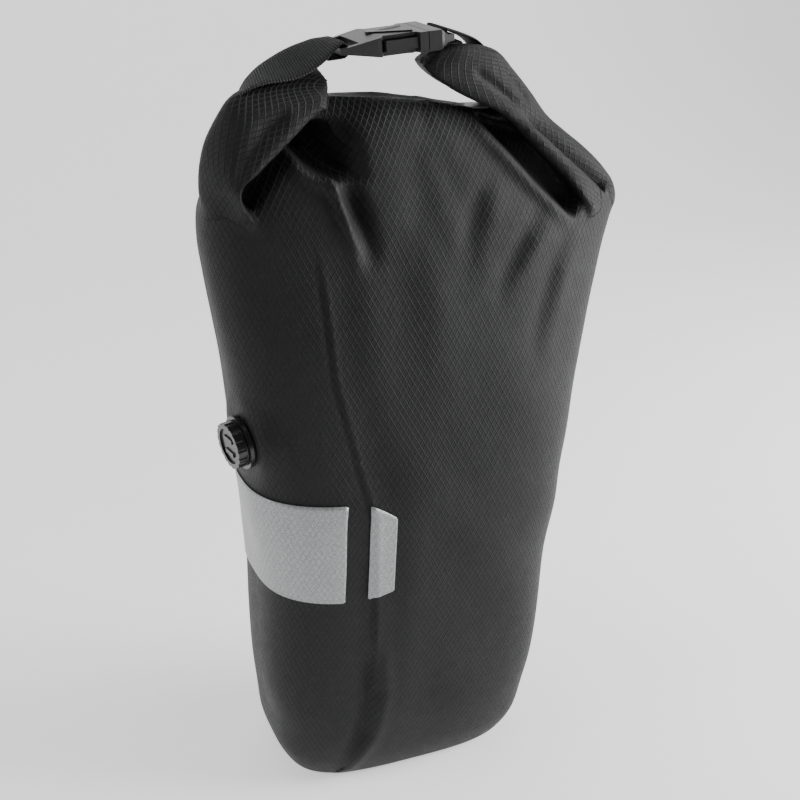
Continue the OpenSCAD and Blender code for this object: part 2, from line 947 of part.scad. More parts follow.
// Webbing handle between the two links, looped through their eyes
module pull_strap() {
    bar = [eye_z + 3, eye_z + 6];
    in_x = hook_x - link_x - link_t;
    out_x = hook_x - link_x;
    t = 1.5;
    rise = 16;
    loop_top = bar[1] + 3;
    arc = [for (a = [180 : -12 : 0]) [(in_x + 1) * cos(a), loop_top - 1 + rise * sin(a)]];
    color(web)
        hang()
            along_y(pin_y - 10, pin_y + 8) {
                polygon(strip(arc, -t / 2, t / 2));
                for (s = [-1, 1])
                    scale([s, 1])
                        difference() {
                            translate([in_x - t - 0.3, bar[0] - t - 0.3])
                                square([out_x - in_x + 2 * t + 0.6, loop_top - bar[0] + t + 0.3]);
                            translate([in_x - 0.3, bar[0] - 0.3])
                                square([out_x - in_x + 0.6, bar[1] - bar[0] + 0.6]);
                        }
            }
}

module hook_grub_screws() {
    h = lip + 0.4;
    color(steel)
        hang()
            for (s = [-1, 1])
                translate([s * hook_x, grub_y, rail_z + rail_flange[1] / 2 - 0.6])
                    difference() {
                        cylinder(h = h, r = grub_r);
                        translate([0, 0, h - 1.4])
                            cylinder(h = 2, r = 0.85, $fn = 6);
                    }
}

/* Lower anchor */

module anchor_carriage() {
    z = channel[1] / 2 - 4.1;
    color(plastic)
        hang()
            difference() {
                union() {
                    box([-carriage_half, carriage_half], [rail_y + 2.6, rail_y + 5.9],
                        [lower_z - z, lower_z + z]);
                    box([-carriage_half, carriage_half], [rail_y + 5, anchor_plate_y - 0.1],
                        [lower_z - slot_half + 0.1, lower_z + slot_half - 0.1]);
                }
                rod_y(0, [rail_y, anchor_plate_y + 1], lower_z, 2.52);
            }
}

// Swivelling hook for an upright stay of the rack
module anchor_hook() {
    y0 = anchor_plate_y;
    y1 = y0 + anchor_t;
    lip_y = stay_y + stay_r + 0.1;
    top = lower_z - anchor_drop + anchor_h / 2;
    low = top - anchor_h;
    color(plastic)
        hang()
            difference() {
                union() {
                    rod_y(0, [y0, y1], lower_z, 11);
                    box([-11, 11], [y0, y1], [low, lower_z]);
                    box([-11, 9], [y0, lip_y + 3.6], [low, top]);
                }
                rod_y(0, [y0 - 1, y1 + 1], lower_z, 2.55);
                translate([0, stay_y, low - 1])
                    cylinder(h = anchor_h + 2, r = stay_r + 0.1);
                box([0, 12], [stay_y - stay_r - 0.1, lip_y], [low - 1, top + 1]);
            }
}

module anchor_washer() {
    color(steel)
        hang()
            translate([0, anchor_plate_y + anchor_t + 0.05, lower_z])
                rotate([-90, 0, 0])
                    tube(2.6, 5, 0, 1);
}

module anchor_screw() {
    head_y = anchor_plate_y + anchor_t + 1.1;
    color(steel)
        hang()
            difference() {
                union() {
                    rod_y(0, [rail_y + 3, head_y + 0.1], lower_z, 2.48);
                    rod_y(0, [head_y, head_y + 3.2], lower_z, 4.4);
                }
                translate([0, head_y + 1.2, lower_z])
                    rotate([-90, 0, 0])
                        cylinder(h = 3, r = 2.2, $fn = 6);
            }
}

bag_body();
base_panel();
rolled_mouth();
mouth_stiffener();
ear_left();
ear_right();
strap_left();
strap_right();
buckle_socket();
buckle_plug();
prong_front();
prong_back();
reflector_side();
reflector_front();
valve_flange();
valve_gasket();
valve_nut();
valve_plunger();
valve_oring();
valve_cap();
back_plate();
stiffener_board();
upper_rail();
lower_rail();
hook_left();
hook_right();
liner_left();
liner_right();
bolt_left();
bolt_right();
bolt_spring_left();
bolt_spring_right();
link_left();
link_right();
guide_rivets();
pull_strap();
rail_screws();
rail_nuts();
hook_grub_screws();
anchor_carriage();
anchor_hook();
anchor_washer();
anchor_screw();
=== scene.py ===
"""Looks of a small roll-top pannier bag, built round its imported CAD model.

Shapes are worked out in millimetres from the middle of the bag's base, +Z up, with the front at -Y,
and mesh_object() moves them to the CAD frame, whose origin is on the rack tube.
"""

import json
import math

import bpy
import numpy as np
from mathutils import Matrix, Vector
from mathutils.bvhtree import BVHTree


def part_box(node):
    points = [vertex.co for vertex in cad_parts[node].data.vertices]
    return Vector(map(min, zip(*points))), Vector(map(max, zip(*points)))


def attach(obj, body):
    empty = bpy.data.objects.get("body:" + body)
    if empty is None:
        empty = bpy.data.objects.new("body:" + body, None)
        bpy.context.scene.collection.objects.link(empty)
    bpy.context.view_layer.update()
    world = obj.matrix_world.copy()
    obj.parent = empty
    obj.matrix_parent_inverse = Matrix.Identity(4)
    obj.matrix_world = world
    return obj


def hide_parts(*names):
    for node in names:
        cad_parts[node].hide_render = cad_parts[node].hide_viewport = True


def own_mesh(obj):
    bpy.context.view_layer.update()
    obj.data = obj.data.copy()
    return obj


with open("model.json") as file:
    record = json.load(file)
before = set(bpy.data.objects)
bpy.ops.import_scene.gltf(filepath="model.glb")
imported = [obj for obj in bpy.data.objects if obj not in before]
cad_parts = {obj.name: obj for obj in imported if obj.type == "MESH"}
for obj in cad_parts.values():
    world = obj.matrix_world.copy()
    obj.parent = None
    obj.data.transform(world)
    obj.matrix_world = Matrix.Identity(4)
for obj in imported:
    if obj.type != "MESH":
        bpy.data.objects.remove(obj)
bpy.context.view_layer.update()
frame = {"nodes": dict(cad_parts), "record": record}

MM = 0.001
# Rack tube's middle, then the middle of the valve's flange and the way it faces
TUBE = np.array([0.0, 77.0, 290.0])
VALVE = np.array([-100.56, -14.0, 228.0])
VALVE_OUT = np.array([-0.976488, -0.17094, -0.131339])


# ---------------------------------------------------------------- meshes

def spline(points, count, closed=False):
    """Rows of any shape, spread evenly along a Catmull-Rom curve through the given rows."""
    p = np.asarray(points, float)
    n = len(p)
    spans = n if closed else n - 1
    t = np.linspace(0, spans, count, endpoint=not closed)
    i = np.minimum(t.astype(int), spans - 1)
    pick = (lambda k: p[k % n]) if closed else (lambda k: p[np.clip(k, 0, n - 1)])
    f = (t - i).reshape((-1,) + (1,) * (p.ndim - 1))
    a, b, c, d = (pick(i + k) for k in (-1, 0, 1, 2))
    square, cube = 2 * a - 5 * b + 4 * c - d, 3 * b - a - 3 * c + d
    return 0.5 * (2 * b + (c - a) * f + square * f ** 2 + cube * f ** 3)


def to_frame(points):
    """Points in millimetres from the bag's base, moved to the CAD frame in metres."""
    return (np.asarray(points, float) - TUBE) * MM


def from_frame(points):
    """The reverse of to_frame()."""
    return np.asarray(points, float) / MM + TUBE


def mesh_object(name, verts, faces, weave=None):
    """Object from points in millimetres. weave holds each point's place on the flat cloth."""
    mesh = bpy.data.meshes.new(name)
    mesh.from_pydata(to_frame(verts).tolist(), [], [list(map(int, f)) for f in faces])
    mesh.update()
    shade_smooth(mesh)
    if weave is not None:
        set_weave(mesh, weave)
    obj = bpy.data.objects.new(name, mesh)
    bpy.context.collection.objects.link(obj)
    return obj


def shade_smooth(mesh):
    mesh.polygons.foreach_set("use_smooth", [True] * len(mesh.polygons))


def set_weave(mesh, weave):
    layer = mesh.attributes.get("weave") or mesh.attributes.new("weave", "FLOAT_VECTOR", "POINT")
    flat = np.zeros((len(mesh.vertices), 3))
    flat[:, :2] = weave
    layer.data.foreach_set("vector", flat.ravel())


def grid_faces(rows, cols, tube=True):
    """Faces over a grid of points, either a tube with a cap at each end or an open sheet."""
    i, j = np.meshgrid(np.arange(rows - 1), np.arange(cols if tube else cols - 1), indexing="ij")
    k = (j + 1) % cols
    corners = [i * cols + j, i * cols + k, (i + 1) * cols + k, (i + 1) * cols + j]
    faces = np.stack(corners, -1).reshape(-1, 4).tolist()
    if tube:
        faces.append(list(range(cols - 1, -1, -1)))
        faces.append([(rows - 1) * cols + c for c in range(cols)])
    return faces


def coords(obj):
    co = np.empty(len(obj.data.vertices) * 3)
    obj.data.vertices.foreach_get("co", co)
    return from_frame(co.reshape(-1, 3))


def normals(obj):
    no = np.empty(len(obj.data.vertices) * 3)
    obj.data.vertices.foreach_get("normal", no)
    return no.reshape(-1, 3)


def set_coords(obj, points):
    obj.data.vertices.foreach_set("co", to_frame(points).ravel())
    obj.data.update()


def apply_modifiers(obj):
    """Bakes an object's modifiers into its mesh."""
    done = bpy.data.meshes.new_from_object(obj.evaluated_get(bpy.context.evaluated_depsgraph_get()))
    obj.modifiers.clear()
    obj.data = done


def lengths(steps):
    """Length of each vector along the last axis."""
    return np.linalg.norm(steps, axis=-1)


def smooth_step(x, low, high):
    t = np.clip((x - low) / (high - low), 0, 1)
    return t * t * (3 - 2 * t)


def band(x, rise_low, rise_high, fall_low, fall_high):
    """Rises smoothly from 0 to 1 and falls back to 0."""
    return smooth_step(x, rise_low, rise_high) * (1 - smooth_step(x, fall_low, fall_high))


def bell(distance, width):
    return np.exp(-(distance / width) ** 2)


def starting(t, share):
    """Fades in over the first share of a line, where t runs from 0 to 1 along it."""
    return smooth_step(t, 0, share)


def ending(t, share):
    """Fades out over the last share of a line."""
    return smooth_step(1 - t, 0, share)


def line_distance(px, pz, line):
    """Signed distance from points to a line of points in the front view, and how far along it they are,
    from 0 to 1. The sign is positive on the left of the line's direction."""
    best = np.full(px.shape, 1e9)
    side = np.ones(px.shape)
    along = np.zeros(px.shape)
    line = np.asarray(line, float)
    steps = np.hypot(*np.diff(line, axis=0).T)
    start = np.concatenate([[0], np.cumsum(steps)])
    for k, (a, b) in enumerate(zip(line[:-1], line[1:])):
        d = (b - a) / steps[k]
        t = np.clip((px - a[0]) * d[0] + (pz - a[1]) * d[1], 0, steps[k])
        ox, oz = px - a[0] - t * d[0], pz - a[1] - t * d[1]
        dist = np.hypot(ox, oz)
        near = dist < best
        best = np.where(near, dist, best)
        side = np.where(near, np.where(d[0] * oz - d[1] * ox >= 0, 1.0, -1.0), side)
        along = np.where(near, start[k] + t, along)
    return best * side, along / start[-1]


# ---------------------------------------------------------------- bag shell

# Body sections from the base up: height, half width, half depth, the centre's y and squareness
SECTIONS = [
    (0.6, 62, 34, 1.5, 2.9), (1.4, 69.5, 38.5, 1.5, 3.2), (6, 74, 42.5, 1.5, 3.4),
    (21, 81, 48, 1, 3.4), (45, 84.5, 50.5, -0.5, 3.3), (70, 87.5, 51.8, -1, 3.2),
    (105, 89.5, 53, -2, 3.1), (141, 91.5, 53.6, -2, 3.0), (176, 95, 53.4, -2, 2.9),
    (211, 99, 52.2, -1.6, 2.8), (246, 104, 50, 0, 2.7), (282, 109.5, 46.6, 2, 2.6),
    (318, 116.5, 42, 4, 2.5), (343, 121.5, 38.5, 6, 2.5), (354, 121, 35, 6, 2.5),
    (366, 114, 31, 6, 2.6), (379, 103, 26.5, 6, 2.7), (390, 89, 22.5, 6, 2.8),
    (398.5, 76, 18, 6, 2.8), (404.5, 66, 12.5, 6, 2.6), (407, 58, 6.5, 6, 2.4),
]
# The back lies flat against the plate: its y, half its width, and the heights where it starts and ends
BACK_Y = 49.3
PLATE_HALF = 54
PLATE_SPAN = (6, 24, 326, 350)


def distance_round(grid):
    """Distance of each point round its closed ring, from the ring's first point, and each ring's length."""
    step = lengths(np.roll(grid, -1, 1) - grid)
    around = np.concatenate([np.zeros((len(grid), 1)), np.cumsum(step, 1)[:, :-1]], 1)
    return around, step.sum(1, keepdims=True)


def body_grid(rows, cols):
    """Points of the body and their place on the cloth, measured from the middle of the front."""
    level = spline(SECTIONS, rows)
    angle = np.linspace(-np.pi / 2, 1.5 * np.pi, cols, endpoint=False)
    z, a, b, yc, n = (level[:, k:k + 1] for k in range(5))
    c, s = np.cos(angle)[None], np.sin(angle)[None]
    reach = (BACK_Y - yc) / (1 - (PLATE_HALF / a) ** n) ** (1 / n)
    b = np.where(s > 0, b + (np.maximum(b, reach) - b) * band(z, *PLATE_SPAN), b)
    x = a * np.sign(c) * np.abs(c) ** (2 / n)
    y = yc + b * np.sign(s) * np.abs(s) ** (2 / n)
    y = np.minimum(y, BACK_Y)

    # the right shoulder stands out further than the left and then draws in faster
    x = x + 2.2 * smooth_step(z, 280, 343) + 1.5 * smooth_step(z, 318, 350) * (x > 0)
    x = x * np.where(x < 0, 1 - 0.015 * smooth_step(z, 325, 350), 1)
    x = x * np.where(x > 0, 1 - 0.2 * smooth_step(z, 350, 395), 1)

    # the top edge of the front slopes down to the right, and falls off at its left end
    top = smooth_step(z, 372, 404)
    z = z - 2 * top - 0.075 * (x + 6) * top - 5.5 * top * np.clip(np.abs(x + 20) / 60, 0, 1) ** 2
    z = z - 6 * top * smooth_step(-x, 20, 52) * smooth_step(-y, -4, 6)
    points = np.stack([x, y, z], -1)
    around, total = distance_round(points)
    around = np.where(around > total / 2, around - total, around)
    rise = lengths(np.diff(points[:, 0], axis=0))
    up = np.concatenate([[0], np.cumsum(rise)])[:, None] + np.zeros_like(around)
    return points, np.stack([around, up], -1)


def ear_ring(front_low, front_top, back_top, back_low, bulge):
    """Eight points round an ear: its four edges and a point on the face between each two. A face stands
    out from its edges by the bulge or a part of it."""
    f, t, b, u = (np.array(p, float) for p in (front_low, front_top, back_top, back_low))
    return [f, (f + t) / 2 + [0, -bulge, 0], t, (t + b) / 2 + [0, 0, bulge * 0.6],
            b, (b + u) / 2 + [0, bulge * 0.5, 0], u, (u + f) / 2 + [0, 0, 1.0]]


# Rings of each ear, from inside the body at the elbow, round the fold and up to the tip
EAR_LEFT = [
    ear_ring((-84, -4, 316), (-104, 4, 318), (-104, 22, 318), (-84, 28, 316), 0),
    ear_ring((-88, -12, 334), (-111, -1, 336), (-109, 22, 338), (-86, 28, 336), 0.5),
    ear_ring((-96, -21, 349), (-117, -4, 351), (-111.5, 22, 354), (-89, 28, 350), 1),
    ear_ring((-103, -27, 359.5), (-119, -2, 366), (-108, 23, 368), (-93, 27, 362), 2),
    ear_ring((-102, -25, 367), (-117, -3, 383), (-102, 21, 386), (-88, 23, 373), 3),
    ear_ring((-95, -22.5, 373), (-110.8, -6, 397.5), (-94, 19, 399.5), (-82, 20, 381), 3),
    ear_ring((-88.5, -20.5, 378.4), (-103, -8, 407.5), (-88, 17, 409), (-76, 19, 387), 3),
    ear_ring((-75.5, -18, 389.5), (-88, -9, 411.5), (-80, 15, 415), (-70, 17, 396), 3),
    ear_ring((-67, -16, 397), (-75, -9.5, 413), (-73, 14, 420), (-62, 15, 402), 2.5),
    ear_ring((-60, -14.5, 402), (-63, -10, 414.5), (-62, 13, 423), (-57, 14, 407), 2),
    ear_ring((-56.5, -13.5, 401.5), (-54.5, -10, 416), (-55, 12, 422), (-55, 12, 408), 1),
]

EAR_RIGHT = [
    ear_ring((84, -4, 310), (106, 4, 312), (106, 24, 314), (84, 28, 312), 0),
    ear_ring((88, -12, 328), (115, -1, 328), (113, 24, 332), (86, 29, 332), 0.5),
    ear_ring((95, -24, 343), (125, -4, 341), (119, 23, 346), (88, 28, 346), 1),
    ear_ring((89, -24, 353.5), (122, -6, 352), (114, 23, 356), (84, 26, 357), 2),
    ear_ring((78, -21, 365.5), (111.5, -8, 364), (103, 22, 368), (76, 23, 371), 3),
    ear_ring((68, -19.5, 375), (98.5, -7.5, 375), (91, 19, 379), (67, 20, 379), 3),
    ear_ring((59, -18, 383.5), (86.5, -6.5, 383.5), (80, 18, 387.5), (59, 18, 387), 3),
    ear_ring((49, -16.5, 392.5), (74, -5.5, 393), (68, 17, 397.5), (49, 16, 395), 3),
    ear_ring((38, -15.5, 399.5), (62, -6, 406), (58, 16, 410), (38, 14, 401.5), 3),
    ear_ring((26, -14, 404.5), (50, -8, 417.5), (47, 16, 419), (25, 13, 406.5), 3.5),
    ear_ring((13, -13.5, 410.5), (37, -11, 428), (36, 15, 427), (13, 12, 412), 3),
    ear_ring((3, -13, 416.5), (19, -12.5, 432), (20, 13, 428), (4, 11, 418), 2),
    ear_ring((-3, -10, 421), (6, -11, 430), (6, 11, 427), (-1, 9, 422.5), 0.5),
]


def ear_mesh(name, rings, rows, cols, mirror, shift):
    """Closed tube through the rings. Its weave starts at shift, near the body's at the elbow."""
    grid = spline(np.array([spline(r, cols, closed=True) for r in rings]), rows)
    around, _ = distance_round(grid)
    up = np.concatenate([np.zeros((1, cols)), np.cumsum(lengths(np.diff(grid, axis=0)), 0)])
    weave = np.stack([mirror * around + shift[0], up + shift[1]], -1).reshape(-1, 2)
    return mesh_object(name, grid.reshape(-1, 3), grid_faces(rows, cols), weave)


# A triangle whose corners lie further apart on the flat cloth spans the ends of the weave
WEAVE_JUMP = 60


def transfer_weave(target, sources):
    """Gives every vertex of target the weave of the nearest point on the source meshes."""
    triangles, places, points, base = [], [], [], 0
    for source in sources:
        mesh = source.data
        mesh.calc_loop_triangles()
        corners = np.empty(len(mesh.loop_triangles) * 3, int)
        mesh.loop_triangles.foreach_get("vertices", corners)
        triangles.append(corners.reshape(-1, 3) + base)
        place = np.empty(len(mesh.vertices) * 3)
        mesh.attributes["weave"].data.foreach_get("vector", place)
        places.append(place.reshape(-1, 3)[:, :2])
        points.append(coords(source))
        base += len(mesh.vertices)
    triangles, places, points = map(np.concatenate, (triangles, places, points))
    nearest = BVHTree.FromPolygons(points.tolist(), triangles.tolist()).find_nearest
    hits = [nearest(p) for p in coords(target).tolist()]
    where = np.array([h[0] for h in hits])
    face = triangles[[h[2] for h in hits]]

    # the hit's weights on the triangle's second and third corners
    a, b, c = (points[face[:, k]] for k in range(3))
    ab, ac, ap = b - a, c - a, where - a
    bb, bc, cc = (ab * ab).sum(1), (ab * ac).sum(1), (ac * ac).sum(1)
    pb, pc = (ap * ab).sum(1), (ap * ac).sum(1)
    area = np.maximum(bb * cc - bc * bc, 1e-9)
    to_b = (cc * pb - bc * pc) / area
    to_c = (bb * pc - bc * pb) / area
    wa, wb, wc = (places[face[:, k]] for k in range(3))
    spread = np.abs(wb - wa).max(1) + np.abs(wc - wa).max(1)
    out = wa + (wb - wa) * to_b[:, None] + (wc - wa) * to_c[:, None]
    set_weave(target.data, np.where((spread > WEAVE_JUMP)[:, None], wa, out))


def fabric_relief(p, n):
    """How far the cloth stands in or out along its normal: folds, pleats and soft dents."""
    x, y, z = p.T
    front = smooth_step(-n[:, 1], 0.15, 0.55)
    out = np.zeros(len(p))

    # long crease down the front, with a hollow on its right near the base
    crease = [(-66, 345), (-62, 313), (-58, 269), (-45, 215), (-37, 190), (-35, 131), (-33, 45)]
    d, t = line_distance(x, z, crease)
    fade = front * starting(t, 0.12) * ending(t, 0.15)
    out += fade * (0.5 * bell(d, 1.3) - 1.6 * bell(d + 8, 7) * smooth_step(t, 0.3, 0.8))
    out -= fade * (1.0 * bell(d - 9, 8) + 0.75 * bell(d + 3.2, 1.8))
    d, t = line_distance(x, z, [(-35, 110), (-31, 70), (-36, 38), (-47, 14)])
    out -= front * 3.2 * bell(d + 4, 6) * starting(t, 0.3) * ending(t, 0.3)
    out += front * 1.6 * bell(d - 4, 5) * starting(t, 0.3)

    # pleat that falls from the left pocket, with a valley on its right
    d, t = line_distance(x, z, [(-62, 379), (-55, 368), (-49.5, 351), (-45, 336), (-43, 318)])
    fade = front * ending(t, 0.55)
    out += fade * 3.4 * bell(d + 1.5, 3.4)
    out -= fade * 5.0 * bell(d - 6.5, 5.0) * smooth_step(t, 0.1, 0.4)

    # soft slanting folds under the right ear
    for line, depth in (
        ([(70, 352), (52, 338), (36, 312), (30, 290)], 1.8),
        ([(86, 340), (70, 318), (60, 286), (56, 252)], 1.5),
        ([(30, 372), (18, 340), (14, 306)], 1.2),
    ):
        d, t = line_distance(x, z, line)
        fade = front * starting(t, 0.3) * ending(t, 0.6)
        out += fade * depth * (0.7 * bell(d - 9, 7) - bell(d, 6.5))

    # valleys from the left ear's front down to the elbow
    on_ear = smooth_step(-y, 2, 8) * smooth_step(-x, 74, 80)
    d, t = line_distance(x, z, [(-76, 404), (-88, 395), (-99, 380), (-108, 362), (-111, 346)])
    out -= on_ear * 2.4 * bell(d, 4.5) * starting(t, 0.25) * ending(t, 0.2)
    d, t = line_distance(x, z, [(-66, 406), (-80, 400), (-90, 390)])
    out -= on_ear * 1.2 * bell(d, 3) * ending(t, 0.4)

    # right ear: a second fold, steep on one side and soft on the other, and two valleys at the tip
    on_ear = smooth_step(-y, 0, 5)
    second = [(40, 407), (52, 398), (63, 389.8), (80.6, 375.8), (97.5, 363), (112, 351.5)]
    d, t = line_distance(x, z, second)
    fade = on_ear * smooth_step(t, 0.12, 0.35) * ending(t, 0.06)
    out -= fade * 6.0 * bell(np.clip(d, 0, None), 4.5) * bell(np.clip(-d, 0, None), 1.3)
    out += fade * 1.4 * bell(d + 4.5, 3.5)
    for line, depth, width in (
        ([(22, 421), (36, 412), (50, 402), (62, 396)], 2.2, 2.2),
        ([(44, 420), (54, 408), (60, 400)], 1.6, 2.0),
    ):
        d, t = line_distance(x, z, line)
        out -= on_ear * depth * bell(d, width) * ending(t, 0.4) * starting(t, 0.15)

    # slack cloth: broad shallow swells, tighter near the base and the mouth
    side = np.arctan2(y, x)
    loose = smooth_step(z, 10, 60) * (1 - 0.6 * smooth_step(z, 330, 380)) * smooth_step(BACK_Y - y, 0.5, 12)
    broad = np.sin(z / 31 + 2.1 * np.sin(side * 2 + 1)) * np.sin(side * 3 + z / 47)
    small = np.sin(z / 13 + 3 * side + 1.3 * np.sin(z / 29)) * np.sin(side * 5 + 0.4)
    return out + loose * (0.9 * broad + 0.5 * small)


def cloth_dents(p):
    """How far each point of the body moves back along Y to make the pockets behind the ears, and the
    extra cloth that they take up."""
    x, y, z = p.T
    back = np.zeros(len(p))
    slack = np.zeros((len(p), 2))
    front = smooth_step(-y, 3, 9)

    # left pocket: a hollow above the lip that runs from the ear down to the pleat
    pocket = [(-88, 402), (-79, 390), (-75, 382.5), (-69, 375.5), (-62, 371), (-55, 368), (-46, 368)]
    lip, t = line_distance(x, z, pocket)
    hollow = band(lip, -0.8, 4.5, 13, 34) * front * smooth_step(t, 0.02, 0.14)
    hollow *= 1 - smooth_step(x, -64, -34)
    back += 21 * hollow
    slack += 14 * hollow[:, None] * [0.5, 0.8]
    back -= 2.6 * bell(lip + 3.2, 3) * front * ending(t, 0.3) * starting(t, 0.2)

    # shadow gap under the left ear's folded edge
    folded = [(-58, 400), (-75, 390), (-88, 377), (-97, 366.5), (-100, 358), (-97, 353)]
    edge, t = line_distance(x, z, folded)
    back += 7 * bell(edge - 2.5, 4.5) * front * smooth_step(t, 0.15, 0.4) * ending(t, 0.08)

    # right groove: a channel between the panel's edge and the ear, with a round end and a raised edge
    edge, t = line_distance(x, z, [(20, 403), (41.9, 379.9), (60.1, 361.9), (79.8, 344), (90, 336)])
    channel = band(edge, -0.4, 3.2, 17, 23) * front * smooth_step(1 - t, 0.06, 0.14)
    back += 11 * channel
    slack += 8 * channel[:, None] * [0.65, 0.7]
    back -= 2.2 * bell(edge + 2.8, 3.4) * ending(t, 0.3) * smooth_step(-y, 7, 13) * starting(t, 0.2)
    return back, slack


def melt_elbows(shell):
    """Runs the ears smoothly into the body's sides, away from their folded front edges."""
    x, y, z = coords(shell).T
    mask = np.max([
        smooth_step(-x, 101, 107) * band(z, 318, 332, 352, 360),
        smooth_step(-x, 76, 84) * band(z, 312, 324, 346, 353),
        smooth_step(x, 103, 109) * band(z, 318, 330, 352, 360),
        smooth_step(x, 80, 88) * band(z, 306, 318, 333, 339),
        smooth_step(y, 10, 20) * smooth_step(np.abs(x), 70, 90) * band(z, 318, 330, 372, 384),
    ], axis=0)
    group = shell.vertex_groups.new(name="melt")
    step = 0.25
    for weight in np.arange(step, 1 + step, step).tolist():
        chosen = np.nonzero((mask > weight - step) & (mask <= weight))[0]
        group.add(chosen.tolist(), weight, "REPLACE")
    melt = shell.modifiers.new("melt", "SMOOTH")
    melt.factor = 0.9
    melt.iterations = 30
    melt.vertex_group = group.name
    apply_modifiers(shell)
    shell.vertex_groups.clear()


def flatten_at_valve(p):
    """Lays the cloth flat just under the valve's flange, and eases it back to its own shape round it."""
    away = p - VALVE
    height = away @ VALVE_OUT
    radius = lengths(away - height[:, None] * VALVE_OUT)
    flat = (1 - smooth_step(radius, 15.5, 30)) * (np.abs(height) < 14)
    return p + VALVE_OUT * ((-0.1 - height) * flat)[:, None]


# Rows and columns of the source grids, the remesh's voxels, and the cloth's lowest height at the base
BODY_GRID = (300, 420)
EAR_GRID = (90, 96)
VOXEL, QUICK_VOXEL = 1.3, 1.7
BASE_GAP = 0.15


def build_shell():
    """The bag's cloth as one mesh: body and ears joined by a voxel remesh, then folded and dented."""
    points, weave = body_grid(*BODY_GRID)
    body = mesh_object("body_source", points.reshape(-1, 3), grid_faces(*BODY_GRID))
    p = coords(body)
    back, slack = cloth_dents(p)
    p[:, 1] += back
    set_coords(body, p)
    set_weave(body.data, weave.reshape(-1, 2) + slack)
    left = ear_mesh("left_source", EAR_LEFT, *EAR_GRID, -1, (-60.0, 332.0))
    right = ear_mesh("right_source", EAR_RIGHT, *EAR_GRID, 1, (60.0, 330.0))
    sources = [body, left, right]
    verts, faces, base = [], [], 0
    for obj in sources:
        verts.append(coords(obj))
        faces += [[v + base for v in f.vertices] for f in obj.data.polygons]
        base += len(obj.data.vertices)
    shell = mesh_object("bag_shell", np.concatenate(verts), faces)
    remesh = shell.modifiers.new("remesh", "REMESH")
    remesh.mode = "VOXEL"
    remesh.voxel_size = VOXEL * MM
    relax = shell.modifiers.new("relax", "SMOOTH")
    relax.factor = 0.5
    relax.iterations = 4
    apply_modifiers(shell)
    melt_elbows(shell)
    transfer_weave(shell, sources)
    for obj in sources:
        bpy.data.objects.remove(obj)
    p, n = coords(shell), normals(shell)
    p = flatten_at_valve(p + n * fabric_relief(p, n)[:, None])
    p[:, 1] = np.minimum(p[:, 1], BACK_Y)
    p[:, 2] = np.maximum(p[:, 2], BASE_GAP)
    set_coords(shell, p)
    shade_smooth(shell.data)
    return shell


# ---------------------------------------------------------------- pieces on the shell

def shell_tree(shell):
    return BVHTree.FromPolygons(coords(shell).tolist(), [list(f.vertices) for f in shell.data.polygons])


# Rays are cast inwards from this far outside the bag
OUTSIDE = 220


def on_shell(tree, angle, z, gap):
    """Point on the bag in a direction round its axis, a gap outside the cloth."""
    way = Vector((math.cos(angle), math.sin(angle), 0))
    hit, normal, *_ = tree.ray_cast(Vector((0, 0, z)) + way * OUTSIDE, -way, 2 * OUTSIDE)
    return np.array(hit) + np.array(normal) * gap


def patch(name, tree, first, last, radius, columns, rows=26, gap=0.55, thickness=0.45):
    """Thin sheet on the shell with rounded corners. Its first and last upright edges are given as an
    angle in degrees, the edge's bottom and its top."""
    first, last = np.array(first, float), np.array(last, float)
    first[0], last[0] = math.radians(first[0]), math.radians(last[0])
    uprights, run, before = [], 0.0, None
    for t in np.linspace(0, 1, columns):
        angle, low, high = first + (last - first) * t
        middle = on_shell(tree, angle, (low + high) / 2, gap)
        if before is not None:
            run += np.linalg.norm(middle - before)
        before = middle
        uprights.append((angle, low, high, run))
    points, weave = [], []
    for angle, low, high, along in uprights:
        inside = min(along, run - along)
        trim = radius - math.sqrt(max(radius ** 2 - max(radius - inside, 0) ** 2, 0))
        for z in low + trim + (high - low - 2 * trim) * np.linspace(0, 1, rows):
            points.append(on_shell(tree, angle, z, gap))
            weave.append((along, z))
    obj = mesh_object(name, points, grid_faces(columns, rows, tube=False), weave)
    solid = obj.modifiers.new("solid", "SOLIDIFY")
    solid.thickness = thickness * MM
    solid.offset = 0
    apply_modifiers(obj)
    shade_smooth(obj.data)
    return obj


def ribbon(name, front, back, thickness, count, across=14):
    """Webbing between two edge lines, with rounded selvedges."""
    f, b = spline(front, count), spline(back, count)
    middle = (f + b) / 2
    along = np.gradient(middle, axis=0)
    along /= np.linalg.norm(along, axis=1, keepdims=True)
    wide = b - f
    up = np.cross(along, wide)
    up /= np.linalg.norm(up, axis=1, keepdims=True)
    s = np.linspace(0, 1, across)
    half = thickness / 2 * (1 - np.abs(2 * s - 1) ** 8 * 0.75)
    sheet = f[:, None] + wide[:, None] * s[None, :, None]
    raised = up[:, None] * half[None, :, None]
    grid = np.concatenate([sheet + raised, (sheet - raised)[:, ::-1]], 1)
    run = np.concatenate([[0], np.cumsum(lengths(np.diff(middle, axis=0)))])[:, None]
    place = np.concatenate([s, s[::-1]])[None] * lengths(wide)[:, None]
    weave = np.stack([run + 0 * place, place], -1).reshape(-1, 2)
    return mesh_object(name, grid.reshape(-1, 3), grid_faces(count, 2 * across), weave)


def at_y(line, y):
    """A line of points in the front view, set at a depth."""
    return [(p[0], y, p[-1]) for p in line]


# ---------------------------------------------------------------- materials

